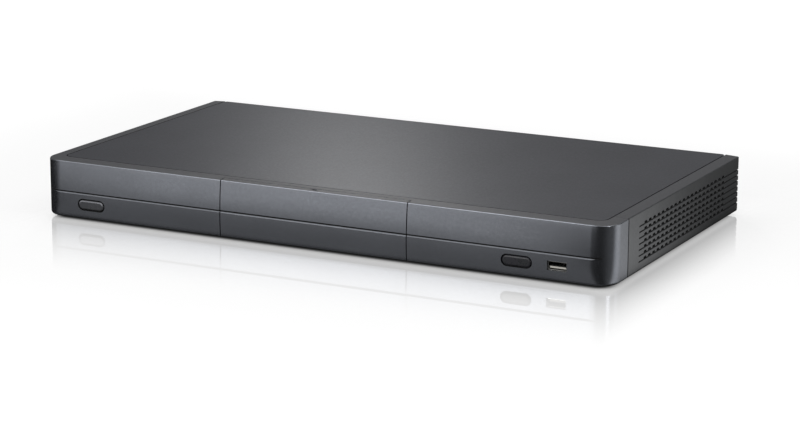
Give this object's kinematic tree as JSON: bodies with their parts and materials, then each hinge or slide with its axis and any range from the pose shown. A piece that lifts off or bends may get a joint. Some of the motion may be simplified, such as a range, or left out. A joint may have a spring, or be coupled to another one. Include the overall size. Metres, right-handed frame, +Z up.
{
  "type": "media player",
  "caption": "Low, wide media player whose hard drive slides out of the front on a tray, with a push button, an infrared window and a socket on its face and vented sides.",
  "frame": {"origin": "on the table, under the middle of the whole object's width and depth", "axes": "+X to the right seen from the front, +Y towards the back, +Z up; the face with the drive tray looks along -Y"},
  "size_m": [0.43, 0.2428, 0.0424],
  "materials": {
    "face_plastic": "satin charcoal with a fine metallic fleck",
    "side_plastic": "fine texture, charcoal",
    "button_plastic": "satin charcoal",
    "window_plastic": "gloss, infrared-clear, near black",
    "cover_steel": "satin textured paint, charcoal",
    "back_steel": "matt black paint",
    "zinc_steel": "zinc-plated sheet",
    "bright_steel": "nickel-plated sheet",
    "screw_black": "black finish",
    "screw_zinc": "zinc-plated",
    "black_plastic": "moulded, black",
    "sled_plastic": "glass-filled, dark grey",
    "rail_plastic": "low-friction plastic, off-white",
    "foot_rubber": "moulded rubber, black",
    "circuit_board": "solder mask, green",
    "supply_laminate": "paper laminate, tan",
    "drive_laminate": "solder mask, blue",
    "chip_epoxy": "moulded epoxy",
    "cast_alloy": "machined die casting",
    "drive_lid_steel": "pressed stainless sheet",
    "fin_alloy": "extruded, plain",
    "post_brass": "turned",
    "contact_metal": "plated contacts",
    "winding": "taped winding on a ferrite core",
    "can_sleeve": "shrink sleeve",
    "cable_jacket": "flexible jacket, red",
    "flat_cable": "flexible flat cable, off-white",
    "jack_metal": "nickel plate",
    "jack_insert": "coloured insulator"
  },
  "bodies": {
    "casing": {"front_bezel": "face_plastic", "side_panel_left": "side_plastic", "side_panel_right": "side_plastic", "top_cover": "cover_steel", "base_pan": "back_steel", "rear_panel": "back_steel", "rubber_feet": "foot_rubber", "cover_screws": "screw_black", "base_screws": "screw_zinc", "ir_window": "window_plastic", "front_usb_shell": "bright_steel", "front_usb_tongue": "rail_plastic", "power_switch_board": "circuit_board", "power_switch": "black_plastic", "front_socket_board": "circuit_board", "ir_receiver": "black_plastic", "drive_bay": "zinc_steel", "bay_rail_left": "rail_plastic", "bay_rail_right": "rail_plastic", "backplane_board": "circuit_board", "backplane_connector": "black_plastic", "drive_cable": "cable_jacket", "main_board": "circuit_board", "processor": "chip_epoxy", "processor_heatsink": "fin_alloy", "memory_chips": "chip_epoxy", "board_capacitors": "can_sleeve", "board_standoffs": "post_brass", "wifi_card": "circuit_board", "antennas": "contact_metal", "supply_board": "supply_laminate", "supply_transformer": "winding", "supply_capacitors": "can_sleeve", "supply_heatsinks": "fin_alloy", "supply_cable": "cable_jacket", "button_cable": "flat_cable", "mains_inlet": "black_plastic", "inlet_pins": "contact_metal", "mains_switch_body": "black_plastic", "fan_frame": "black_plastic", "fan_screws": "screw_black", "hdmi_socket": "bright_steel", "ethernet_socket": "bright_steel", "rear_usb_socket": "bright_steel", "optical_port": "black_plastic", "rca_housings": "black_plastic", "rca_barrels": "jack_metal", "rca_inserts": "jack_insert"},
    "tray": {"tray_front": "face_plastic", "fascia_screws": "screw_zinc", "drive_sled": "sled_plastic", "hard_drive_casting": "cast_alloy", "hard_drive_lid": "drive_lid_steel", "hard_drive_board": "drive_laminate", "hard_drive_plug": "black_plastic", "drive_screws": "screw_zinc"},
    "power_button": {"power_button": "button_plastic", "switch_plunger": "rail_plastic"},
    "rocker": {"mains_rocker": "black_plastic"},
    "rotor": {"fan_rotor": "black_plastic"}
  },
  "joints": [
    {"name": "tray_slide", "type": "slide", "parent": "casing", "child": "tray", "axis": [0, -1, 0], "range_m": [0, 0.163]},
    {"name": "power_press", "type": "slide", "parent": "casing", "child": "power_button", "axis": [0, 1, 0], "range_m": [0, 0.0006], "stiffness_N_per_m": 2500},
    {"name": "mains_rock", "type": "hinge", "parent": "casing", "child": "rocker", "pos_m": [-0.1408, 0.11035, 0.0224], "axis": [1, 0, 0], "range_deg": [0, 22]},
    {"name": "fan_spin", "type": "hinge", "parent": "casing", "child": "rotor", "pos_m": [0, 0.10785, 0.0224], "axis": [0, 1, 0], "continuous": true}
  ]
}
